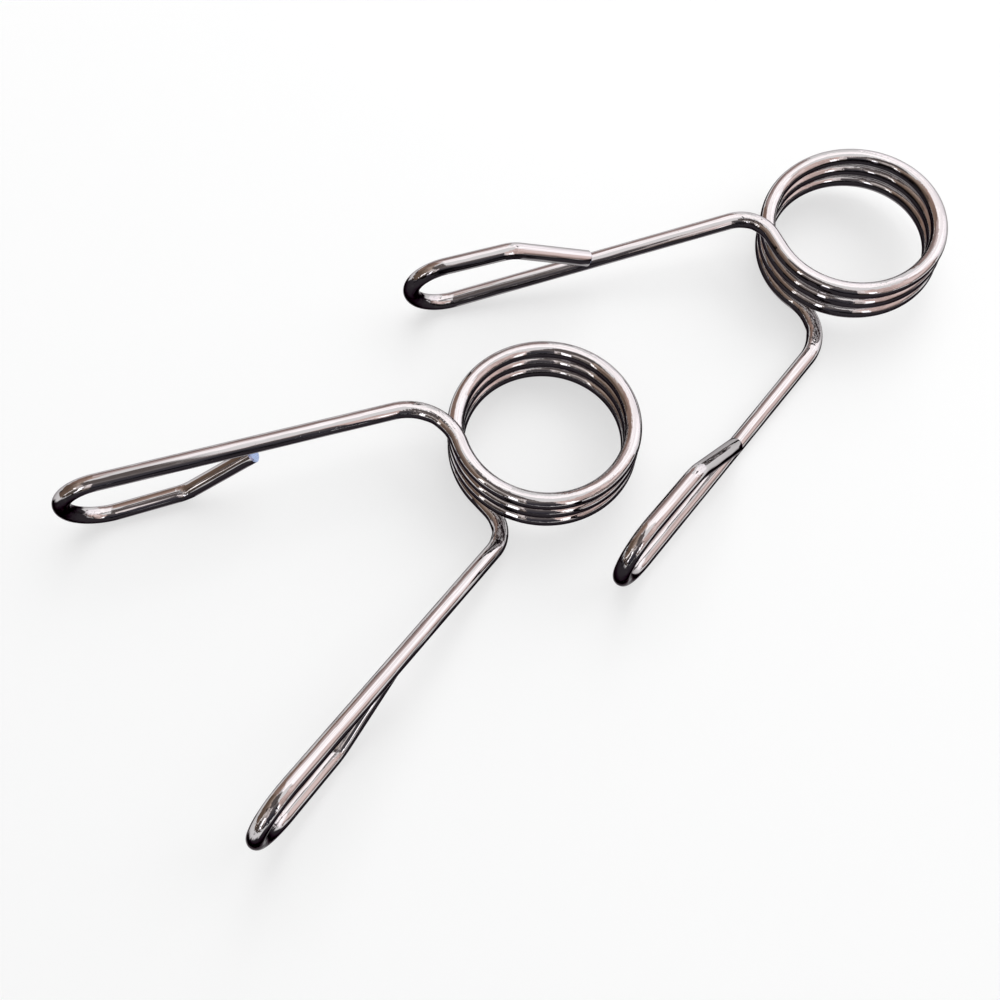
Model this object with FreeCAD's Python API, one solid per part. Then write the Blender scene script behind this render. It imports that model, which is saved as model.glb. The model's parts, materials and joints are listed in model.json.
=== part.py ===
import FreeCAD, Part
import math
import os
from FreeCAD import Placement, Rotation, Vector

# A pair of spring clips that hold the weight plates on a bar with a 50 mm sleeve.
# Each clip is one chromed spring wire. Its coil springs shut on the sleeve, and both of its ends
# leave the coil as arms. Each arm is folded back at its tip into a hairpin grip with a hooked tail.
# Squeezing the two grips together unwinds the coil a little, which opens it.
# Lengths are in millimetres and angles in degrees.

# The wire
wire_diameter = 5.2
end_chamfer = 0.5

# The coil, which winds down from the first arm to the second round the clip's own z axis.
# Its bore is a little under the sleeve that it grips, and the sleeve has worn a narrow land in it.
coil_bore = 49.0
bearing_depth = 0.1
turn_gap = 0.45
coil_start_angle = 166.0
coil_end_angle = 189.0
whole_turns = 3

# The arms, from the coil outwards
first_shoulder_radius = 16.0
first_shank_length = 88.5
second_lead_length = 6.0
second_shoulder_radius = 11.5
second_shank_length = 93.0

# The grips at the ends of the arms
hairpin_radius = 12.5
hairpin_angle = 185.5
return_length = 18.5
hook_radius = 10.5
hook_angle = 31.0
hook_length = 25.5

# The way each arm points from its coil, how far it climbs, and how far its hairpin and its hook lean
# out of the upright plane. The wire springs back unevenly, so the four arms differ by some degrees.
BENDS = {
    "left_clip": {
        "first": {"heading": 164.5, "climb": 2.0, "hairpin_lean": -5.5, "hook_lean": 1.0},
        "second": {"heading": 202.0, "climb": 12.5, "hairpin_lean": -4.5, "hook_lean": -4.0},
    },
    "right_clip": {
        "first": {"heading": 162.5, "climb": -2.5, "hairpin_lean": -1.0, "hook_lean": -3.5},
        "second": {"heading": 201.0, "climb": 5.5, "hairpin_lean": -8.0, "hook_lean": -7.5},
    },
}

# How the clips lie: each is turned about the upright axis, and the right one also lies upside down.
# The tip of the right clip's first arm lies beside the left clip's coil.
left_clip_turn = 32.8
right_clip_turn = 33.4
tip_gap = 20.3
tip_bearing = -65.5

# How finely the wire is measured
measuring_sag = 0.004
measuring_points_per_turn = 120
biarcs_per_turn = 4

WIRE_RADIUS = wire_diameter / 2
COIL_RADIUS = coil_bore / 2 + WIRE_RADIUS
PITCH = wire_diameter + turn_gap
WOUND_ANGLE = 360 * whole_turns + coil_end_angle - coil_start_angle
COIL_HEIGHT = PITCH * WOUND_ANGLE / 360
UP = Vector(0, 0, 1)


def direction(heading, climb):
    """The unit vector at a heading in the plane across the coil, rising by an angle."""
    turn = math.radians(heading)
    rise = math.radians(climb)
    return Vector(math.cos(turn) * math.cos(rise), math.sin(turn) * math.cos(rise), math.sin(rise))


def square_to(vector, axis):
    """The unit vector nearest to a vector that is square to a unit axis."""
    side = vector - axis * vector.dot(axis)
    return side.normalize()


def coil_point(angle):
    """The centre of the wire at an angle round the coil, and the way the wire runs there."""
    turn = math.radians(angle)
    drop = PITCH * (angle - coil_start_angle) / 360
    place = Vector(COIL_RADIUS * math.cos(turn), COIL_RADIUS * math.sin(turn), COIL_HEIGHT / 2 - drop)
    round_coil = Vector(-COIL_RADIUS * math.sin(turn), COIL_RADIUS * math.cos(turn), 0)
    heading = round_coil - UP * PITCH / math.tau
    return place, heading.normalize()


class Route:
    """The centreline of the wire as it is bent: straight runs and bends that follow each other."""

    def __init__(self, place, heading):
        self.place = place
        self.heading = heading
        self.section = (place, heading)
        self.edges = []
        self.drawn = []

    def add(self, edge, end, heading):
        self.edges.append(edge)
        self.drawn.append(edge)
        self.place = end
        self.heading = heading

    def run(self, length):
        end = self.place + self.heading * length
        self.add(Part.makeLine(self.place, end), end, self.heading)

    def bend(self, radius, angle, towards):
        """Bend by an angle towards a direction, and return the middle of the bend."""
        start = self.place
        ahead = self.heading
        side = square_to(towards, ahead)

        def after(part_angle):
            turn = math.radians(part_angle)
            return start + side * radius * (1 - math.cos(turn)) + ahead * radius * math.sin(turn)

        turn = math.radians(angle)
        end = after(angle)
        middle = after(angle / 2)
        self.add(Part.Arc(start, middle, end).toShape(), end, ahead * math.cos(turn) + side * math.sin(turn))
        return middle

    def bend_to(self, radius, heading):
        self.bend(radius, math.degrees(self.heading.getAngle(heading)), heading)

    def round_corner(self, corner, end):
        """The arc from here to a point as far from the corner as here, along both of the corner's sides."""
        chord_middle = (self.place + end) / 2
        bow = self.place.distanceToPoint(chord_middle) / self.place.distanceToPoint(corner)
        middle = corner + (chord_middle - corner) / (1 + bow)
        self.add(Part.Arc(self.place, middle, end).toShape(), end, (end - corner).normalize())

    def biarc(self, end, heading):
        """Two arcs that run on from here and reach a point at a heading."""
        span = end - self.place
        sum_of_headings = self.heading + heading
        spread = 2 * (1 - self.heading.dot(heading))
        lean = span.dot(sum_of_headings)
        reach = (math.sqrt(lean ** 2 + spread * span.dot(span)) - lean) / spread
        first_corner = self.place + self.heading * reach
        second_corner = end - heading * reach
        self.round_corner(first_corner, (first_corner + second_corner) / 2)
        self.round_corner(second_corner, end)

    def tube(self):
        """The round wire along all that was drawn since the last tube."""
        place, heading = self.section
        profile = Part.Wire([Part.makeCircle(WIRE_RADIUS, place, heading)])
        solid = Part.Wire(self.edges).makePipeShell([profile], True, False)
        self.section = (self.place, self.heading)
        self.edges = []
        return solid


def coil_route():
    """The coil's turns, from the first arm down to the second."""
    route = Route(*coil_point(coil_start_angle))
    count = round(biarcs_per_turn * WOUND_ANGLE / 360)
    for step in range(1, count + 1):
        route.biarc(*coil_point(coil_start_angle + WOUND_ANGLE * step / count))
    return route


def first_arm(heading):
    """The shoulder and shank that leave the coil's top."""
    start, round_coil = coil_point(coil_start_angle)
    route = Route(start, -round_coil)
    route.bend_to(first_shoulder_radius, heading)
    route.run(first_shank_length)
    return route, route.tube()


def second_arm(heading):
    """The lead, shoulder and shank that leave the coil's bottom."""
    route = Route(*coil_point(coil_start_angle + WOUND_ANGLE))
    route.run(second_lead_length)
    route.bend_to(second_shoulder_radius, heading)
    route.run(second_shank_length)
    return route, route.tube()


def add_grip(route, hairpin_lean, hook_lean):
    """The hairpin below the shank, the leg that returns and the hooked tail: its solid and its tip."""
    shank = route.heading
    down = square_to(-UP, shank)
    lean = math.radians(hairpin_lean)
    across = down * math.cos(lean) + shank.cross(down) * math.sin(lean)
    square_to_hairpin = shank.cross(across)
    tip = route.bend(hairpin_radius, hairpin_angle, across)
    route.run(return_length)
    lean = math.radians(hook_lean)
    inwards = square_to_hairpin.cross(route.heading)
    route.bend(hook_radius, hook_angle, inwards * math.cos(lean) + square_to_hairpin * math.sin(lean))
    route.run(hook_length)
    end = route.place
    grip = route.tube()
    cut_edge = min(grip.Edges, key=lambda edge: edge.CenterOfMass.distanceToPoint(end))
    return grip.makeChamfer(end_chamfer, [cut_edge]), tip


def worn(solid):
    """Clear of the sleeve, which has worn its own round land into the inside of the coil."""
    length = COIL_HEIGHT + 2 * wire_diameter
    sleeve = Part.makeCylinder(coil_bore / 2 + bearing_depth, length, UP * -length / 2, UP)
    return solid.cut(sleeve)


def make_clip(bends):
    """The solids of one clip by name, its centreline and the tip of its first arm, in its own frame."""
    coil = coil_route()
    first, second = bends["first"], bends["second"]
    first_route, first_solid = first_arm(direction(first["heading"], first["climb"]))
    second_route, second_solid = second_arm(direction(second["heading"], second["climb"]))
    first_grip, tip = add_grip(first_route, first["hairpin_lean"], first["hook_lean"])
    second_grip, _ = add_grip(second_route, second["hairpin_lean"], second["hook_lean"])
    solids = {
        "coil": worn(coil.tube()),
        "first_arm": worn(first_solid),
        "first_grip": first_grip,
        "second_arm": worn(second_solid),
        "second_grip": second_grip,
    }
    return solids, coil.drawn + first_route.drawn + second_route.drawn, tip


def inside(place, corners):
    """Whether a place is inside a triangle, both seen from above."""
    sides = []
    for corner, following in zip(corners, corners[1:] + corners[:1]):
        edge = following - corner
        reach = place - corner
        sides.append(edge.x * reach.y - edge.y * reach.x)
    return min(sides) >= 0 or max(sides) <= 0


def resting_corners(points, centre):
    """The three lowest points that carry a thing by its centre of mass, as on a flat surface.

    From three far, high corners round the centre, the point that is furthest under the plane of the
    corners takes the place of one of them, until no point is under the plane.
    """
    reach = sum(point.distanceToPoint(centre) for point in points)
    corners = []
    for heading in (0, 120, 240):
        corners.append(centre + direction(heading, 0) * reach + UP * reach)
    while True:
        normal = (corners[1] - corners[0]).cross(corners[2] - corners[0])
        upright = normal * math.copysign(1, normal.z)
        lowest = min(points, key=upright.dot)
        if lowest in corners or upright.dot(lowest - corners[0]) >= 0:
            return corners, upright.normalize()
        for place in range(len(corners)):
            trial = corners[:place] + [lowest] + corners[place + 1:]
            if inside(centre, trial):
                corners = trial
                break


def lay_down(centreline, turned_over, turn):
    """The rotation and height at which a clip rests on the surface by its own weight."""
    over = Rotation(Vector(1, 0, 0), 180 if turned_over else 0)
    points = []
    for edge in centreline:
        points += [over.multVec(point) for point in edge.discretize(Deflection=measuring_sag)]
    weight = sum(edge.Length for edge in centreline)
    balance = Vector()
    for edge in centreline:
        balance += edge.CenterOfMass * (edge.Length / weight)
    _, upright = resting_corners(points, over.multVec(balance))
    tilt = Rotation(upright, UP)
    lowest = min(tilt.multVec(point).z for point in points)
    rotation = Rotation(UP, turn).multiply(tilt).multiply(over)
    return rotation, WIRE_RADIUS - lowest


def extent(centreline, placement):
    """The low and high corners of a clip's wire, seen from above, at its place."""
    points = []
    for edge in centreline:
        points += [placement.multVec(point) for point in edge.discretize(Deflection=measuring_sag)]
    margin = Vector(WIRE_RADIUS, WIRE_RADIUS, 0)
    low = Vector(min(point.x for point in points), min(point.y for point in points), 0)
    high = Vector(max(point.x for point in points), max(point.y for point in points), 0)
    return low - margin, high + margin


def least_gap_between_turns():
    """The least free space between points of the coil's wire that are over half a turn apart."""
    count = round(measuring_points_per_turn * WOUND_ANGLE / 360)
    step = 360 / measuring_points_per_turn
    points = [coil_point(coil_start_angle + step * place)[0] for place in range(count)]
    gaps = []
    for place, point in enumerate(points):
        for other in points[place + measuring_points_per_turn // 2:]:
            gaps.append(point.distanceToPoint(other) - wire_diameter)
    return min(gaps)


def main():
    os.makedirs("parts", exist_ok=True)
    left, left_line, _ = make_clip(BENDS["left_clip"])
    right, right_line, right_tip = make_clip(BENDS["right_clip"])
    left_rotation, left_height = lay_down(left_line, False, left_clip_turn)
    right_rotation, right_height = lay_down(right_line, True, right_clip_turn)

    beside_coil = COIL_RADIUS + wire_diameter + tip_gap
    tip_place = direction(tip_bearing, 0) * beside_coil
    reach = right_rotation.multVec(right_tip)
    left_placement = Placement(Vector(0, 0, left_height), left_rotation)
    right_placement = Placement(Vector(tip_place.x - reach.x, tip_place.y - reach.y, right_height), right_rotation)

    left_low, left_high = extent(left_line, left_placement)
    right_low, right_high = extent(right_line, right_placement)
    middle_x = (min(left_low.x, right_low.x) + max(left_high.x, right_high.x)) / 2
    middle_y = (min(left_low.y, right_low.y) + max(left_high.y, right_high.y)) / 2
    to_middle = Placement(Vector(-middle_x, -middle_y, 0), Rotation())

    for name, solids, placement in (("left_clip", left, left_placement), ("right_clip", right, right_placement)):
        placement = to_middle.multiply(placement)
        for node, solid in solids.items():
            solid.transformed(placement.toMatrix(), copy=True).exportStep(f"parts/{name}_{node}.step")
        print(name, "coil's middle", placement.Base, "coil's axis", placement.Rotation.multVec(UP))
    print("least gap between turns", round(least_gap_between_turns(), 3))


main()
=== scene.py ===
import json
import math

import bmesh
import bpy
from bpy.props import FloatProperty, FloatVectorProperty, IntProperty, PointerProperty
from mathutils import Matrix, Quaternion, Vector
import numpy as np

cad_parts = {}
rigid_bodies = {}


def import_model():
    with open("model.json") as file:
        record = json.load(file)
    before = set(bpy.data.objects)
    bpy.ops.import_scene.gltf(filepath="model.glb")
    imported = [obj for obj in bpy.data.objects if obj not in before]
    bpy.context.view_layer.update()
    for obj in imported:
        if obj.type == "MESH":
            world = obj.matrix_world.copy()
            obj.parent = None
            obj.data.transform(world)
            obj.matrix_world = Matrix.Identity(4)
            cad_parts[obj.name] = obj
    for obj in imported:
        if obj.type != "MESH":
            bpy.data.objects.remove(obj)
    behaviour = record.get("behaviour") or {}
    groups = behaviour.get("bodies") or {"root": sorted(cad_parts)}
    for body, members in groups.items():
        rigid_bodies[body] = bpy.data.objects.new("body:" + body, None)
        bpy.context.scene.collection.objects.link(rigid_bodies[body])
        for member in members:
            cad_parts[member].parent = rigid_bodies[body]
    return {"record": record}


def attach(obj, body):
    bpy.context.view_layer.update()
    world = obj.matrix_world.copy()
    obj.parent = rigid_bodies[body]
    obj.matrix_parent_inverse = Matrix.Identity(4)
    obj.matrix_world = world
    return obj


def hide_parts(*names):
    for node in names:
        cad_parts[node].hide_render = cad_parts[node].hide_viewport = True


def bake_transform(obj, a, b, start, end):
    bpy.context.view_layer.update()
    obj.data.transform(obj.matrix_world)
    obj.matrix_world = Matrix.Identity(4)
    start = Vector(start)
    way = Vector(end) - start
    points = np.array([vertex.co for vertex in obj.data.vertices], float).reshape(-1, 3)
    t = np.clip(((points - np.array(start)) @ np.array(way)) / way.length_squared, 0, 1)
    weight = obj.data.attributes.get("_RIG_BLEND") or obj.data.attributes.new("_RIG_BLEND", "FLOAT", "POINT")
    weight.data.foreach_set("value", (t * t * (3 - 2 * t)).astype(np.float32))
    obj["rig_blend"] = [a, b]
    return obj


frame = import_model()

bl_info = {
    "name": "Spring collars for a weight bar",
    "version": (1, 0, 0),
    "blender": (4, 5, 0),
    "location": "View3D > Sidebar > Collars",
    "description": "A pair of chromed wire spring collars, bent and wound as the real ones are",
    "category": "Object",
}

UP = Vector((0, 0, 1))
SECTION_SIDES = 48
CREASE_ANGLE = math.radians(30)

# A wire's first step away from a joint is this short, so that its shading runs on across the joint.
JOINT_STEP = 0.00005
JOINT_TURN = math.radians(0.2)

# How strongly the turns of the coil are rippled, where 1 is the middle of a tight bend, and over how many
# rings the ripples die away towards an arm.
COIL_WORKED = 0.4
FADING_RINGS = 12

# The bending pin marks the inside of a bend at these shares of it. A hairpin is bent in two goes.
PLAIN_BEND_MARKS = (0.5,)
HAIRPIN_MARKS = (0.15, 0.85)

# How each arm leaves its coil and how its grip leans, in degrees, as in the part's own source.
BENDS = {
    "left": {
        "first": {"heading": 164.5, "climb": 2.0, "hairpin_lean": -5.5, "hook_lean": 1.0},
        "second": {"heading": 202.0, "climb": 12.5, "hairpin_lean": -4.5, "hook_lean": -4.0},
    },
    "right": {
        "first": {"heading": 162.5, "climb": -2.5, "hairpin_lean": -1.0, "hook_lean": -3.5},
        "second": {"heading": 201.0, "climb": 5.5, "hairpin_lean": -8.0, "hook_lean": -7.5},
    },
}
CLIP_TURNS = {"left": 32.8, "right": 33.4}


class WireSizes(bpy.types.PropertyGroup):
    """The wire that a collar is bent from."""
    diameter: FloatProperty(
        name="Diameter", description="Thickness of the wire", default=0.0052, unit="LENGTH")
    end_chamfer: FloatProperty(
        name="End chamfer", description="Bevel round each cut end", default=0.0005, unit="LENGTH")
    bend_step: FloatProperty(
        name="Bend step", description="Angle between rings of a bend",
        default=math.radians(4), subtype="ANGLE")
    coil_step: FloatProperty(
        name="Coil step", description="Angle between rings of the coil",
        default=math.radians(2.5), subtype="ANGLE")
    ring_spacing: FloatProperty(
        name="Ring spacing", description="Distance between rings of a straight run",
        default=0.003, unit="LENGTH")
    mark_depth: FloatProperty(
        name="Mark depth", description="Depth of the flats pressed in by the bending pin",
        default=0.00025, unit="LENGTH")
    mark_size: FloatProperty(
        name="Mark size", description="Reach of each flat", default=0.0026, unit="LENGTH")


class CoilSizes(bpy.types.PropertyGroup):
    """The coil that grips the bar's sleeve."""
    bore: FloatProperty(
        name="Bore", description="Inner diameter of the turns", default=0.049, unit="LENGTH")
    turn_gap: FloatProperty(
        name="Turn gap", description="Free space between turns", default=0.00045, unit="LENGTH")
    start_angle: FloatProperty(
        name="Start", description="Where the first arm leaves the coil",
        default=math.radians(166), subtype="ANGLE")
    end_angle: FloatProperty(
        name="End", description="Where the second arm leaves the coil",
        default=math.radians(189), subtype="ANGLE")
    whole_turns: IntProperty(name="Whole turns", description="Number of whole turns", default=3)


class ArmSizes(bpy.types.PropertyGroup):
    """The two arms, from the coil to the grips."""
    first_shoulder: FloatProperty(
        name="First shoulder", description="Bend radius where the first arm leaves",
        default=0.016, unit="LENGTH")
    first_shank: FloatProperty(
        name="First shank", description="Straight length of the first arm", default=0.0885, unit="LENGTH")
    second_lead: FloatProperty(
        name="Second lead", description="Straight lead before the second shoulder",
        default=0.006, unit="LENGTH")
    second_shoulder: FloatProperty(
        name="Second shoulder", description="Bend radius of the second arm",
        default=0.0115, unit="LENGTH")
    second_shank: FloatProperty(
        name="Second shank", description="Straight length of the second arm", default=0.093, unit="LENGTH")


class GripSizes(bpy.types.PropertyGroup):
    """The hairpin grip at the end of each arm."""
    hairpin_radius: FloatProperty(
        name="Hairpin radius", description="Bend radius of the hairpin", default=0.0125, unit="LENGTH")
    hairpin_angle: FloatProperty(
        name="Hairpin angle", description="How far the hairpin turns back",
        default=math.radians(185.5), subtype="ANGLE")
    return_length: FloatProperty(
        name="Returning leg", description="Straight length after the hairpin",
        default=0.0185, unit="LENGTH")
    hook_radius: FloatProperty(
        name="Hook radius", description="Bend radius of the hooked tail", default=0.0105, unit="LENGTH")
    hook_angle: FloatProperty(
        name="Hook angle", description="How far the tail bends inwards",
        default=math.radians(31), subtype="ANGLE")
    hook_length: FloatProperty(
        name="Hook length", description="Straight length of the tail", default=0.0255, unit="LENGTH")


class ChromeLook(bpy.types.PropertyGroup):
    """The bright plating, the painted reflections on its flanks and underside, and the cut ends."""
    bright: FloatVectorProperty(
        name="Bright", description="Plating that faces up",
        default=(0.62, 0.595, 0.60), size=3, subtype="COLOR")
    # The flank colour is a painted dark reflection of the surroundings, which the flanks of chrome mirror.
    flank: FloatVectorProperty(
        name="Flank", description="Plating that faces sideways",
        default=(0.027, 0.023, 0.027), size=3, subtype="COLOR")
    # The underside colour is a painted reflection too, a little darker than the top.
    underside: FloatVectorProperty(
        name="Underside", description="Plating that faces down",
        default=(0.50, 0.48, 0.485), size=3, subtype="COLOR")
    smudge: FloatVectorProperty(
        name="Smudge", description="Dark smudges that the bending tools leave",
        default=(0.035, 0.032, 0.034), size=3, subtype="COLOR")
    edge_tint: FloatVectorProperty(
        name="Edge tint", description="Reflection near the outline",
        default=(0.35, 0.33, 0.34), size=3, subtype="COLOR")
    # The blue of the cut end is a painted reflection of bluish light.
    cut_end: FloatVectorProperty(
        name="Cut end", description="Sheared face of the wire",
        default=(0.50, 0.62, 0.95), size=3, subtype="COLOR")
    roughness: FloatProperty(
        name="Roughness", description="Roughness of the plating",
        default=0.025, min=0.0, max=1.0, subtype="FACTOR")
    streak_depth: FloatProperty(
        name="Streak depth", description="Depth of the drawing marks along the wire",
        default=0.00005, unit="LENGTH")
    ripple_depth: FloatProperty(
        name="Ripple depth", description="Depth of the ripples left by bending",
        default=0.00022, unit="LENGTH")


class StageLook(bpy.types.PropertyGroup):
    """The studio: floor, lamps, boards and camera."""
    floor: FloatVectorProperty(
        name="Floor", description="Colour of the floor",
        default=(0.93, 0.93, 0.93), size=3, subtype="COLOR")
    floor_white: FloatProperty(
        name="Floor white", description="How far the floor near the collars goes to plain white",
        default=0.55, min=0.0, max=1.0, subtype="FACTOR")
    floor_width: FloatProperty(
        name="Floor width", description="Side of the floor", default=8.0, unit="LENGTH")
    fill: FloatProperty(
        name="Fill", description="Strength of the even light from all round", default=0.45)
    window_power: FloatProperty(
        name="Window", description="Power of the large soft lamp beyond the collars",
        default=28.0, unit="POWER")
    overhead_power: FloatProperty(
        name="Overhead", description="Power of the soft lamp above the collars",
        default=5.5, unit="POWER")
    lens: FloatProperty(
        name="Lens", description="Focal length of the camera in millimetres", default=42.162, unit="CAMERA")
    camera_elevation: FloatProperty(
        name="Elevation", description="Height of the camera above the horizon",
        default=math.radians(67.39), subtype="ANGLE")
    camera_distance: FloatProperty(
        name="Distance", description="From the camera to what it looks at",
        default=0.36399, unit="LENGTH")


GROUPS = {
    "collar_wire": WireSizes,
    "collar_coil": CoilSizes,
    "collar_arms": ArmSizes,
    "collar_grips": GripSizes,
    "collar_chrome": ChromeLook,
    "collar_stage": StageLook,
}


# The shape of the coil, in the collar's own frame

def settings(group):
    return getattr(bpy.context.scene, group)


def wire_radius():
    return settings("collar_wire").diameter / 2


def coil_radius():
    return settings("collar_coil").bore / 2 + wire_radius()


def pitch():
    return settings("collar_wire").diameter + settings("collar_coil").turn_gap


def wound_angle():
    coil = settings("collar_coil")
    return math.tau * coil.whole_turns + coil.end_angle - coil.start_angle


def coil_height():
    return pitch() * wound_angle() / math.tau


def coil_point(wound):
    """The centre of the wire after an angle of winding, and the way the wire runs there."""
    angle = settings("collar_coil").start_angle + wound
    radius = coil_radius()
    height = coil_height() / 2 - pitch() * wound / math.tau
    place = Vector((radius * math.cos(angle), radius * math.sin(angle), height))
    heading = Vector((-radius * math.sin(angle), radius * math.cos(angle), -pitch() / math.tau))
    return place, heading.normalized()


def direction(heading, climb):
    """The unit vector at a heading across the coil that climbs by an angle, both in degrees."""
    turn, rise = math.radians(heading), math.radians(climb)
    across = math.cos(rise)
    return Vector((math.cos(turn) * across, math.sin(turn) * across, math.sin(rise)))


def square_to(vector, axis):
    return (vector - axis * vector.dot(axis)).normalized()


def squeeze_joint(side, arm):
    name = f"{side}_{arm}_squeeze"
    return next(joint for joint in frame["record"]["behaviour"]["joints"] if joint["name"] == name)


def resting_place(side):
    """Where a collar lies, from its coil's hinge in the packed record and its turn on the floor."""
    joint = squeeze_joint(side, "first")
    axis = Vector(joint["axis"]).normalized()
    upside_down = axis.z < 0
    over = Matrix.Rotation(math.pi if upside_down else 0, 4, "X")
    turn = Matrix.Rotation(math.radians(CLIP_TURNS[side]), 4, "Z")
    leaning = turn.inverted() @ (-axis if upside_down else axis)
    tilt = UP.rotation_difference(leaning).to_matrix().to_4x4()
    return Matrix.Translation(joint["pos_m"]) @ turn @ tilt @ over


# Making a piece of wire by hand

def deselect():
    if bpy.context.object and bpy.context.object.mode != "OBJECT":
        bpy.ops.object.mode_set(mode="OBJECT")
    bpy.ops.object.select_all(action="DESELECT")


def add_section(name, place, heading, fill):
    """A round section of the wire, square to the way it runs, with its own place on the unbent wire."""
    deselect()
    turned = heading.to_track_quat("Z", "Y").to_euler()
    bpy.ops.mesh.primitive_circle_add(
        vertices=SECTION_SIDES, radius=wire_radius(), fill_type=fill, location=place, rotation=turned)
    piece = bpy.context.object
    piece.name = piece.data.name = name
    bpy.ops.object.transform_apply(location=True, rotation=True, scale=True)
    unbent = piece.data.attributes.new("unbent", "FLOAT_VECTOR", "POINT")
    outwards = square_to(Vector((place.x, place.y, 0)), heading)
    upwards = square_to(UP, heading)
    for item, vertex in zip(unbent.data, piece.data.vertices):
        offset = vertex.co - place
        item.vector = (offset.dot(outwards), offset.dot(upwards), 0)
    piece.data.attributes.new("worked", "FLOAT", "POINT")
    return piece


class Bender:
    """A wire as it is bent in edit mode: what is selected is its end face."""

    def __init__(self, name, place, heading):
        self.piece = add_section(name, place, heading, "NGON")
        self.place = place.copy()
        self.heading = heading.copy()
        self.length = 0.0
        self.marks = []
        bpy.ops.object.mode_set(mode="EDIT")
        bpy.ops.mesh.select_all(action="SELECT")

    def measure(self, length, worked):
        """Mark the new end with its place along the unbent wire, and how hard it was worked."""
        self.length += length
        shape = bmesh.from_edit_mesh(self.piece.data)
        layers = shape.verts.layers
        for vertex in shape.verts:
            if vertex.select:
                vertex[layers.float_vector["unbent"]].z = self.length
                vertex[layers.float["worked"]] = worked
        bmesh.update_edit_mesh(self.piece.data)

    def extrude(self, length):
        bpy.ops.mesh.extrude_region_move(TRANSFORM_OT_translate={"value": self.heading * length})
        self.place += self.heading * length
        self.measure(length, 0.0)

    def run(self, length):
        count = max(1, round(length / settings("collar_wire").ring_spacing))
        for _ in range(count):
            self.extrude(length / count)

    def bend(self, radius, angle, towards, marks=PLAIN_BEND_MARKS):
        """Bend by an angle towards a direction. The bending pin marks the inside at shares of the bend."""
        side = square_to(towards, self.heading)
        centre = self.place + side * radius
        axis = self.heading.cross(side)
        for share in marks:
            turn = Quaternion(axis, angle * share)
            self.marks.append(centre - turn @ side * (radius - wire_radius()))
        count = math.ceil((angle - JOINT_TURN) / settings("collar_wire").bend_step)
        turned = 0.0
        for step in [JOINT_TURN] + [(angle - JOINT_TURN) / count] * count:
            bpy.ops.mesh.spin(steps=1, angle=-step, center=centre, axis=axis)
            turn = Quaternion(axis, step)
            self.place = centre + turn @ (self.place - centre)
            self.heading = turn @ self.heading
            turned += step
            self.measure(radius * step, max(0.0, math.sin(math.pi * turned / angle)) ** 0.5)

    def bend_to(self, radius, heading):
        self.bend(radius, self.heading.angle(heading), heading)

    def cut(self, chamfer):
        """End the wire with a bevelled face, in the material of a cut end."""
        self.extrude(chamfer)
        narrowed = 1 - chamfer / wire_radius()
        bpy.ops.transform.resize(value=(narrowed,) * 3, center_override=self.place)
        bpy.ops.mesh.select_more()
        self.piece.active_material_index = self.piece.data.materials.find("cut wire")
        bpy.ops.object.material_slot_assign()

    def press_marks(self):
        """Press in the shallow flats that the bending pin leaves."""
        look = settings("collar_wire")
        bpy.ops.mesh.select_mode(type="VERT")
        for mark in self.marks:
            bpy.ops.mesh.select_all(action="DESELECT")
            shape = bmesh.from_edit_mesh(self.piece.data)
            nearest = min(shape.verts, key=lambda vertex: (vertex.co - mark).length)
            inwards = -nearest.normal
            nearest.select = True
            shape.select_flush(True)
            bmesh.update_edit_mesh(self.piece.data)
            bpy.ops.transform.translate(
                value=inwards * look.mark_depth, use_proportional_edit=True,
                proportional_edit_falloff="SMOOTH", proportional_size=look.mark_size)


def finish_piece(piece, side):
    """Turn all faces outwards, put the piece where the collar lies and shade it."""
    bpy.ops.object.mode_set(mode="EDIT")
    bpy.ops.mesh.select_all(action="SELECT")
    bpy.ops.mesh.normals_make_consistent(inside=False)
    bpy.ops.object.mode_set(mode="OBJECT")
    piece.matrix_world = resting_place(side)
    bpy.ops.object.transform_apply(location=True, rotation=True, scale=True)
    bpy.ops.object.shade_smooth_by_angle(angle=CREASE_ANGLE)
    # How far each vertex faces up, which the plating's painted reflection reads.
    facing_up = piece.data.attributes.new("facing_up", "FLOAT", "POINT")
    for item, normal in zip(facing_up.data, piece.data.vertex_normals):
        item.value = normal.vector.z


def bend_arm(side, arm):
    """One arm with its grip, from the end of the coil to the cut end of its hooked tail."""
    arms, grips = settings("collar_arms"), settings("collar_grips")
    bends = BENDS[side][arm]
    away = direction(bends["heading"], bends["climb"])
    if arm == "first":
        place, round_coil = coil_point(0)
        wire = Bender(f"{side}_{arm}_arm_and_grip", place, -round_coil)
        add_finishes(wire.piece)
        wire.bend_to(arms.first_shoulder, away)
        wire.run(arms.first_shank)
    else:
        wire = Bender(f"{side}_{arm}_arm_and_grip", *coil_point(wound_angle()))
        add_finishes(wire.piece)
        wire.run(arms.second_lead)
        wire.bend_to(arms.second_shoulder, away)
        wire.run(arms.second_shank)

    shank = wire.heading.copy()
    down = square_to(-UP, shank)
    lean = math.radians(bends["hairpin_lean"])
    across = down * math.cos(lean) + shank.cross(down) * math.sin(lean)
    square_to_hairpin = shank.cross(across)
    wire.bend(grips.hairpin_radius, grips.hairpin_angle, across, HAIRPIN_MARKS)
    wire.run(grips.return_length)
    lean = math.radians(bends["hook_lean"])
    inwards = square_to_hairpin.cross(wire.heading)
    inwards = inwards * math.cos(lean) + square_to_hairpin * math.sin(lean)
    wire.bend(grips.hook_radius, grips.hook_angle, inwards)
    chamfer = settings("collar_wire").end_chamfer
    wire.run(grips.hook_length - chamfer)
    wire.cut(chamfer)
    wire.press_marks()

    finish_piece(wire.piece, side)
    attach(wire.piece, f"{side}_{arm}_arm")
    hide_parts(f"{side}_clip_{arm}_arm", f"{side}_clip_{arm}_grip")


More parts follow.
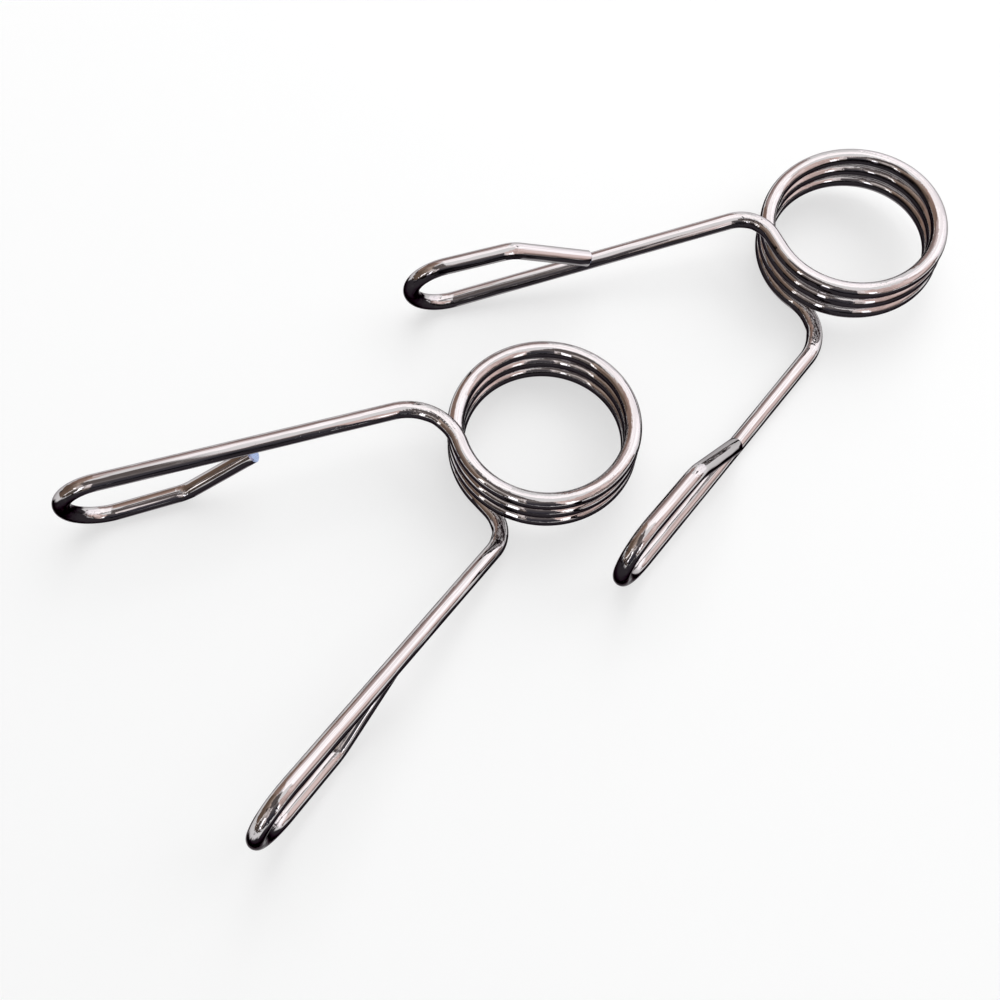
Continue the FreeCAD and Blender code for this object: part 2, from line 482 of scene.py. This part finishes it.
def wind_half_coil(side, arm):
    """The half of the coil's turns next to one arm, which twists as that arm is squeezed."""
    half = wound_angle() / 2
    start = 0 if arm == "first" else half
    place, heading = coil_point(start)
    piece = add_section(f"{side}_{arm}_half_coil", place, heading, "NOTHING")
    add_finishes(piece)
    count = round(half / settings("collar_wire").coil_step)
    winding = piece.modifiers.new("winding", "SCREW")
    winding.axis = "Z"
    winding.angle = half
    winding.screw_offset = -coil_height() / 2
    winding.steps = winding.render_steps = count
    winding.use_smooth_shade = True
    bpy.ops.object.modifier_apply(modifier=winding.name)

    ring_length = math.hypot(coil_radius() * half, coil_height() / 2) / count
    marks = zip(piece.data.attributes["unbent"].data, piece.data.attributes["worked"].data)
    for number, (unbent, worked) in enumerate(marks):
        ring = number // SECTION_SIDES
        rings_from_arm = ring if arm == "first" else count - ring
        unbent.vector.z = ring_length * rings_from_arm
        worked.value = COIL_WORKED * min(1, rings_from_arm / FADING_RINGS)
    shorten_end(piece, 0, coil_point(start)[1])
    shorten_end(piece, count, -coil_point(start + half)[1])

    finish_piece(piece, side)
    joint = squeeze_joint(side, arm)
    middle, axis = Vector(joint["pos_m"]), Vector(joint["axis"]).normalized()
    towards_arm = 1 if arm == "first" else -1
    outer = middle + axis * towards_arm * (coil_height() / 2 - wire_radius())
    inner = middle + axis * towards_arm * wire_radius()
    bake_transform(piece, f"{side}_{arm}_arm", "coils", start=outer, end=inner)
    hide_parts(f"{side}_clip_coil")


def shorten_end(piece, ring, inwards):
    """Close an end of the coil, and keep its last step very short so that its shading runs on."""
    deselect()
    piece.select_set(True)
    bpy.context.view_layer.objects.active = piece
    bpy.ops.object.mode_set(mode="EDIT")
    bpy.ops.mesh.select_mode(type="VERT")
    shape = bmesh.from_edit_mesh(piece.data)
    for vertex in shape.verts:
        vertex.select = vertex.index // SECTION_SIDES == ring
    shape.select_flush(True)
    bmesh.update_edit_mesh(piece.data)
    bpy.ops.transform.translate(value=inwards * JOINT_STEP)
    bpy.ops.mesh.edge_face_add()
    bpy.ops.mesh.extrude_region_move(TRANSFORM_OT_translate={"value": -inwards * JOINT_STEP})
    bpy.ops.object.mode_set(mode="OBJECT")


# Finishes

class Socket:
    """An output of a node that takes part in sums."""

    def __init__(self, finish, output):
        self.finish = finish
        self.output = output

    def sum_with(self, operation, *values):
        return self.finish.node("ShaderNodeMath", {"operation": operation}, *values)

    def __add__(self, other):
        return self.sum_with("ADD", self, other)

    def __sub__(self, other):
        return self.sum_with("SUBTRACT", self, other)

    def __rsub__(self, other):
        return self.sum_with("SUBTRACT", other, self)

    def __mul__(self, other):
        return self.sum_with("MULTIPLY", self, other)

    __radd__ = __add__
    __rmul__ = __mul__


class Finish:
    """The nodes of a material, lamp or world."""

    def __init__(self, owner):
        owner.use_nodes = True
        self.tree = owner.node_tree
        self.tree.nodes.clear()

    def node(self, kind, choices, *values, output=0, **named):
        """Add a node with its choices set first, then the values or links of its sockets.

        A value of None leaves a socket as it is.
        """
        node = self.tree.nodes.new(kind)
        for name, choice in choices.items():
            setattr(node, name, choice)
        sockets = list(enumerate(values))
        sockets += [(name.replace("_", " "), value) for name, value in named.items()]
        for key, value in sockets:
            if value is None:
                continue
            if isinstance(value, Socket):
                self.tree.links.new(value.output, node.inputs[key])
            else:
                node.inputs[key].default_value = value
        return Socket(self, node.outputs[output]) if node.outputs else None

    def between(self, value, low, high):
        """0 below low, 1 above high, and smooth in between."""
        choices = {"interpolation_type": "SMOOTHSTEP", "clamp": True}
        return self.node("ShaderNodeMapRange", choices, value, low, high, 0.0, 1.0)

    def mix(self, share, low, high):
        """The colour low, high or a share of each. The node's colours come after its other sockets."""
        other_sockets = [None] * 5
        return self.node("ShaderNodeMix", {"data_type": "RGBA"}, share, *other_sockets, low, high, output=2)

    def noise(self, place, scale, stretch, detail):
        """Noise on the unbent wire, in lumps of a size in metres that are stretched along it."""
        scaled = self.node(
            "ShaderNodeMapping", {"vector_type": "POINT"}, place,
            Scale=(1 / scale, 1 / scale, 1 / (scale * stretch)))
        return self.node("ShaderNodeTexNoise", {}, scaled, Scale=1.0, Detail=detail, Roughness=0.55)

    def surface(self, shader):
        self.node("ShaderNodeOutputMaterial", {}, shader)


def rgba(colour):
    return (*colour, 1.0)


WHITE = (1.0, 1.0, 1.0, 1.0)

# The markings of the plating: how wide they are across the wire in metres, how many times longer they are
# along it, and how finely they are broken up.
STREAKS = (0.0006, 25, 1.5)
RIPPLES = (0.0024, 1.5, 3.5)
SMEARS = (0.009, 3, 3.0)
SMUDGES = (0.0012, 2.2, 3.0)
PITS = (0.00025, 1.5, 1.0)

# From what strength to what strength of its noise a marking comes in, and how strong it gets.
SMUDGE_EDGE = (0.61, 0.64)
SMUDGE_STRENGTH = 0.85
PIT_EDGE = (0.74, 0.80)
PIT_STRENGTH = 0.45
PIT_DEPTH = 0.000004
PIT_COLOUR = (0.25, 0.22, 0.2)
SMEAR_EDGE = (0.5, 0.75)
STREAK_EDGE = (0.6, 0.8)
ADDED_ROUGHNESS = 0.05

# The plating's colour is a painted reflection that changes between these heights of its facing, from -1,
# straight down, to 1, straight up: bright on top, a painted dark reflection on the flanks, and a painted,
# slightly darker reflection on the underside. The streaks make both changes ragged, and the lower one is
# further down where the wire was worked.
FLANK_TO_BRIGHT = (0.50, 0.59)
UNDERSIDE_TO_FLANK = (-0.20, 0.05)
RAGGED_BY = 0.35
LOWERED_BY = 0.35

# How hard the wire has to be worked for smudges to start, and to be in full.
WORKED_ENOUGH = (0.45, 0.85)

# The shear lines of a cut end: their scale across them and the two other ways, and what they do.
SHEAR_SCALE = (9000.0, 900.0, 900.0)
SHEAR_DETAIL = 3.0
SHEAR_EDGE = (0.35, 0.7)
# The shear lines are a darker shade of the cut end's painted bluish reflection.
SHEAR_COLOUR = (0.32, 0.38, 0.55)
SHEAR_DEPTH = 0.00002
CUT_ROUGHNESS = 0.12
SHEAR_ROUGHNESS = 0.25


def own_attribute(finish, name, output):
    return finish.node("ShaderNodeAttribute", {"attribute_name": name}, output=output)


def chromed_wire():
    """Bright plating over drawn wire, with a painted dark reflection on its flanks and underside: streaks
    along it, and ripples and smudges where it was bent.
    """
    look = settings("collar_chrome")
    material = bpy.data.materials.new("chromed wire")
    finish = Finish(material)
    unbent = own_attribute(finish, "unbent", "Vector")
    facing_up = own_attribute(finish, "facing_up", "Fac")
    worked = own_attribute(finish, "worked", "Fac")
    streaks = finish.noise(unbent, *STREAKS)
    ripples = finish.noise(unbent, *RIPPLES)
    smears = finish.noise(unbent, *SMEARS)
    smudges = finish.between(finish.noise(unbent, *SMUDGES), *SMUDGE_EDGE)
    pits = finish.between(finish.noise(unbent, *PITS), *PIT_EDGE)

    # The colour bands by facing are a painted reflection: bright on top, dark on the flanks, lighter again
    # below.
    ragged = facing_up + (streaks - 0.5) * RAGGED_BY
    above_painted_dark_band = finish.between(ragged, *FLANK_TO_BRIGHT)
    plating = finish.mix(above_painted_dark_band, rgba(look.flank), rgba(look.bright))
    above_painted_underside = finish.between(ragged + worked * LOWERED_BY, *UNDERSIDE_TO_FLANK)
    plating = finish.mix(above_painted_underside, rgba(look.underside), plating)
    smudged = smudges * finish.between(worked, *WORKED_ENOUGH) * SMUDGE_STRENGTH
    plating = finish.mix(smudged, plating, rgba(look.smudge))
    plating = finish.mix(pits * PIT_STRENGTH, plating, rgba(PIT_COLOUR))

    roughness = look.roughness + finish.between(smears, *SMEAR_EDGE) * ADDED_ROUGHNESS
    roughness = roughness + finish.between(streaks, *STREAK_EDGE) * ADDED_ROUGHNESS
    height = streaks * look.streak_depth + (ripples - 0.5) * worked * look.ripple_depth - pits * PIT_DEPTH
    bump = finish.node("ShaderNodeBump", {}, Strength=1.0, Distance=1.0, Height=height)
    finish.surface(finish.node(
        "ShaderNodeBsdfPrincipled", {}, Base_Color=plating, Metallic=1.0, Roughness=roughness,
        Specular_Tint=rgba(look.edge_tint), Normal=bump))
    return material


def cut_wire():
    """The sheared end of the wire: thinly plated, with fine shear lines, and its blue a painted reflection
    of bluish light.
    """
    look = settings("collar_chrome")
    material = bpy.data.materials.new("cut wire")
    finish = Finish(material)
    unbent = own_attribute(finish, "unbent", "Vector")
    scaled = finish.node("ShaderNodeMapping", {"vector_type": "POINT"}, unbent, Scale=SHEAR_SCALE)
    lines = finish.node("ShaderNodeTexNoise", {}, scaled, Scale=1.0, Detail=SHEAR_DETAIL)
    # The cut end's blue, and the darker blue of its shear lines, are a painted reflection of bluish light.
    colour = finish.mix(finish.between(lines, *SHEAR_EDGE), rgba(look.cut_end), rgba(SHEAR_COLOUR))
    roughness = lines * SHEAR_ROUGHNESS + CUT_ROUGHNESS
    bump = finish.node("ShaderNodeBump", {}, Strength=1.0, Distance=1.0, Height=lines * SHEAR_DEPTH)
    finish.surface(finish.node(
        "ShaderNodeBsdfPrincipled", {}, Base_Color=colour, Metallic=1.0, Roughness=roughness, Normal=bump))
    return material


def add_finishes(piece):
    for name, make in (("chromed wire", chromed_wire), ("cut wire", cut_wire)):
        piece.data.materials.append(bpy.data.materials.get(name) or make())


# The studio

# Upright boards round the set, for the plating to reflect: where each stands round the collars, from the
# far side clockwise, how wide it looks, from what height to what height it reaches, its distance, between
# which heights it turns lighter, and its colours below and above. Widths and heights are angles as seen from
# the collars. All angles are in degrees.
BOARDS = {
    "dark_board": (175.5, 32, (0, 57), 0.5, (10, 50), (0.05, 0.048, 0.062), (0.20, 0.18, 0.18)),
    "south_board": (180, 44, (0, 62), 1.35, (5, 35), (0.22, 0.17, 0.14), (1.15, 1.06, 1.05)),
    "grey_board": (216, 44, (0, 62), 1.3, (12, 45), (0.10, 0.08, 0.07), (0.80, 0.73, 0.70)),
    "brown_board": (265, 62, (0, 62), 1.25, (24, 54), (0.20, 0.14, 0.105), (0.55, 0.44, 0.37)),
    "taupe_board": (313, 36, (0, 62), 1.3, (26, 58), (0.33, 0.225, 0.18), (0.68, 0.49, 0.42)),
    "rose_board": (346, 34, (0, 50), 1.3, (12, 46), (0.40, 0.29, 0.27), (1.00, 0.85, 0.83)),
    "tan_board": (128, 74, (0, 62), 1.3, (1, 22), (0.30, 0.22, 0.20), (0.90, 0.70, 0.65)),
    "pale_board": (98, 30, (0, 62), 1.28, (4, 26), (0.30, 0.22, 0.20), (1.05, 0.86, 0.82)),
    "window_board": (50, 66, (0, 62), 1.4, (5, 40), (1.45, 1.40, 1.45), (1.75, 1.68, 1.70)),
    "left_strip_lamp": (204, 9, (6, 36), 1.2, (0, 1), (2.6, 2.6, 2.7), (2.6, 2.6, 2.7)),
    "far_left_strip_lamp": (236, 5, (10, 40), 1.2, (0, 1), (2.2, 2.15, 2.1), (2.2, 2.15, 2.1)),
    "right_strip_lamp": (151, 10, (8, 36), 1.2, (0, 1), (2.4, 2.4, 2.45), (2.4, 2.4, 2.45)),
}

# Level boards overhead: the place of the middle, how far the board is turned in degrees, its width and
# depth, what share of it fades at each edge, and its colour.
CEILING = {
    "skylight_board": ((0.04, 0.80, 1.3), 18, (0.9, 1.3), 0.1, (1.68, 1.62, 1.63)),
    "dark_canopy": ((-0.24, -0.225, 0.72), 20, (0.46, 0.72), 0.09, (0.15, 0.13, 0.125)),
}

# How strongly the boards are blotched, and the blotches' own scale, detail, edge and darkness.
BOARD_BLOTCHED = 0.35
BRIGHT_BOARD_BLOTCHED = 0.3
CEILING_BLOTCHED = 0.25
BLOTCH_SCALE = 2.1
BLOTCH_DETAIL = 5.0
BLOTCH_EDGE = (0.47, 0.53)
BLOTCH_SHADE = 0.4

# What share of an upright board fades at its top edge.
TOP_FADES = 0.12

# The lamps: the place of each, and its width and depth. Their powers are in the stage's settings.
LAMPS = {
    "window": ((1.0, 1.0, 0.95), (2.6, 1.5)),
    "overhead": ((-0.05, 0.6, 1.3), (0.8, 1.1)),
}

# The floor goes from its own white to plain white between these distances from the collars.
FLOOR_FADES = (0.4, 2.5)

# What the camera looks at, its sensor in millimetres and the nearest thing that it can see.
LOOKED_AT = Vector((-0.0068, -0.00655, 0))
SENSOR_WIDTH = 36
CLIP_START = 0.01


def add_board(name, place, turned, size, blotched, lighter, below, above, fades):
    """A board that only reflections show. It fades at its sides, top and bottom by shares of its size."""
    deselect()
    bpy.ops.mesh.primitive_plane_add(size=1, location=place, rotation=turned)
    board = bpy.context.object
    board.name = board.data.name = name
    board.scale = (*size, 1)
    bpy.ops.object.transform_apply(location=True, rotation=True, scale=True)

    material = bpy.data.materials.new(name.replace("_", " "))
    finish = Finish(material)
    on_board = finish.node("ShaderNodeTexCoord", {}, output="UV")
    across = finish.node("ShaderNodeSeparateXYZ", {}, on_board, output="X")
    up = finish.node("ShaderNodeSeparateXYZ", {}, on_board, output="Y")
    in_space = finish.node("ShaderNodeTexCoord", {}, output="Object")
    noise = finish.node("ShaderNodeTexNoise", {}, in_space, Scale=BLOTCH_SCALE, Detail=BLOTCH_DETAIL)
    blotches = finish.between(noise, *BLOTCH_EDGE)
    colour = finish.mix(finish.between(up, *lighter), rgba(below), rgba(above))
    colour = finish.mix(blotches * blotched, colour, rgba([share * BLOTCH_SHADE for share in below]))
    sides, top, bottom = fades
    shown = finish.between(up, 1.0, 1 - top)
    if sides:
        shown = shown * finish.between(across, 0.0, sides) * finish.between(1 - across, 0.0, sides)
    if bottom:
        shown = shown * finish.between(up, 0.0, bottom)
    clear = finish.node("ShaderNodeBsdfTransparent", {})
    glow = finish.node("ShaderNodeEmission", {}, colour, 1.0)
    finish.surface(finish.node("ShaderNodeMixShader", {}, shown, clear, glow))
    board.data.materials.append(material)

    board.visible_camera = board.visible_diffuse = board.visible_shadow = False
    board.visible_transmission = board.visible_volume_scatter = False


def add_upright_board(name, bearing, width, reach, distance, lighter, below, above):
    low, high, lighter_from, lighter_to = (
        distance * math.tan(math.radians(angle)) for angle in (*reach, *lighter))
    turned = (math.pi / 2, 0, math.radians(-bearing))
    place = Matrix.Rotation(turned[2], 4, "Z") @ Vector((0, distance, (low + high) / 2))
    size = (2 * distance * math.tan(math.radians(width / 2)), high - low)
    blotched = BOARD_BLOTCHED if below[0] < 1 else BRIGHT_BOARD_BLOTCHED
    lighter = [(height - low) / (high - low) for height in (lighter_from, lighter_to)]
    add_board(name, place, turned, size, blotched, lighter, below, above, (0, TOP_FADES, 0))


def add_ceiling_board(name, place, turn, size, fades, colour):
    turned = (0, 0, math.radians(turn))
    add_board(name, place, turned, size, CEILING_BLOTCHED, (0, 1), colour, colour, (fades, fades, fades))


def seen_or_mirrored(finish):
    """1 where the camera sees a thing straight, in a reflection or through something clear."""
    seen, mirrored, seen_through = (
        finish.node("ShaderNodeLightPath", {}, output=f"Is {kind} Ray")
        for kind in ("Camera", "Glossy", "Transmission"))
    larger = {"operation": "MAXIMUM"}
    seen = finish.node("ShaderNodeMath", larger, seen, mirrored)
    return finish.node("ShaderNodeMath", larger, seen, seen_through)


def add_floor():
    look = settings("collar_stage")
    deselect()
    bpy.ops.mesh.primitive_plane_add(size=look.floor_width, location=(0, 0, 0))
    floor = bpy.context.object
    floor.name = floor.data.name = "floor"
    bpy.ops.object.transform_apply(location=True, rotation=True, scale=True)
    material = bpy.data.materials.new("pale floor")
    finish = Finish(material)
    paint = finish.node("ShaderNodeBsdfDiffuse", {}, rgba(look.floor), 0.0)
    white = finish.node("ShaderNodeEmission", {}, WHITE, 1.0)
    place = finish.node("ShaderNodeTexCoord", {}, output="Object")
    distance = finish.node("ShaderNodeVectorMath", {"operation": "LENGTH"}, place, output="Value")
    whiter = finish.between(distance, *FLOOR_FADES) * (1 - look.floor_white) + look.floor_white
    shown_white = whiter * seen_or_mirrored(finish)
    finish.surface(finish.node("ShaderNodeMixShader", {}, shown_white, paint, white))
    floor.data.materials.append(material)


def add_lamp(name, place, size, power):
    """A large soft lamp that faces the collars."""
    deselect()
    turned = Vector(place).to_track_quat("Z", "Y").to_euler()
    bpy.ops.object.light_add(type="AREA", location=place, rotation=turned)
    lamp = bpy.context.object
    lamp.name = lamp.data.name = name
    lamp.data.shape = "RECTANGLE"
    lamp.data.size, lamp.data.size_y = size
    lamp.data.energy = power
    lamp.visible_glossy = False


def set_world():
    """Even light from all round. What is seen past the floor is white, in reflections too."""
    world = bpy.data.worlds.new("studio")
    bpy.context.scene.world = world
    finish = Finish(world)
    strength = finish.node(
        "ShaderNodeMapRange", {}, seen_or_mirrored(finish), 0.0, 1.0, settings("collar_stage").fill, 1.0)
    background = finish.node("ShaderNodeBackground", {}, WHITE, strength)
    finish.node("ShaderNodeOutputWorld", {}, background)


def add_camera():
    look = settings("collar_stage")
    back = Vector((0, -math.cos(look.camera_elevation), math.sin(look.camera_elevation)))
    turned = (math.pi / 2 - look.camera_elevation, 0, 0)
    deselect()
    bpy.ops.object.camera_add(location=LOOKED_AT + back * look.camera_distance, rotation=turned)
    camera = bpy.context.object
    camera.name = camera.data.name = "camera"
    camera.data.lens = look.lens
    camera.data.sensor_width = SENSOR_WIDTH
    camera.data.clip_start = CLIP_START
    bpy.context.scene.camera = camera


# The operators, the panel and what runs them

class COLLAR_OT_stage(bpy.types.Operator):
    """Set the floor, the boards, the lamps, the even light and the camera"""
    bl_idname = "collar.stage"
    bl_label = "Set the stage"

    def execute(self, context):
        add_floor()
        for name, board in BOARDS.items():
            add_upright_board(name, *board)
        for name, board in CEILING.items():
            add_ceiling_board(name, *board)
        for name, lamp in LAMPS.items():
            add_lamp(name, *lamp, getattr(settings("collar_stage"), f"{name}_power"))
        set_world()
        add_camera()
        context.scene.view_settings.view_transform = "Standard"
        return {"FINISHED"}


class COLLAR_OT_arms(bpy.types.Operator):
    """Bend the two arms of each collar, with their grips"""
    bl_idname = "collar.arms"
    bl_label = "Bend the arms"

    def execute(self, context):
        for side in BENDS:
            for arm in BENDS[side]:
                bend_arm(side, arm)
        return {"FINISHED"}


class COLLAR_OT_coils(bpy.types.Operator):
    """Wind the turns of each collar's coil, in the half next to each arm"""
    bl_idname = "collar.coils"
    bl_label = "Wind the coils"

    def execute(self, context):
        for side in BENDS:
            for arm in BENDS[side]:
                wind_half_coil(side, arm)
        return {"FINISHED"}


class COLLAR_PT_collars(bpy.types.Panel):
    """The sizes and finishes of the collars, and what makes them"""
    bl_idname = "COLLAR_PT_collars"
    bl_label = "Spring collars"
    bl_space_type = "VIEW_3D"
    bl_region_type = "UI"
    bl_category = "Collars"

    def draw(self, context):
        for group, kind in GROUPS.items():
            box = self.layout.box()
            box.label(text=kind.__doc__)
            for name in kind.__annotations__:
                box.prop(getattr(context.scene, group), name)
        for operator in OPERATORS:
            self.layout.operator(operator.bl_idname)


OPERATORS = (COLLAR_OT_stage, COLLAR_OT_arms, COLLAR_OT_coils)


def register():
    for kind in (*GROUPS.values(), *OPERATORS, COLLAR_PT_collars):
        bpy.utils.register_class(kind)
    for name, kind in GROUPS.items():
        setattr(bpy.types.Scene, name, PointerProperty(type=kind))


def unregister():
    for name in GROUPS:
        delattr(bpy.types.Scene, name)
    for kind in (COLLAR_PT_collars, *reversed(OPERATORS), *reversed(GROUPS.values())):
        bpy.utils.unregister_class(kind)


def main():
    register()
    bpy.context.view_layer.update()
    bpy.ops.collar.stage()
    bpy.ops.collar.arms()
    bpy.ops.collar.coils()


if __name__ == "__main__":
    main()
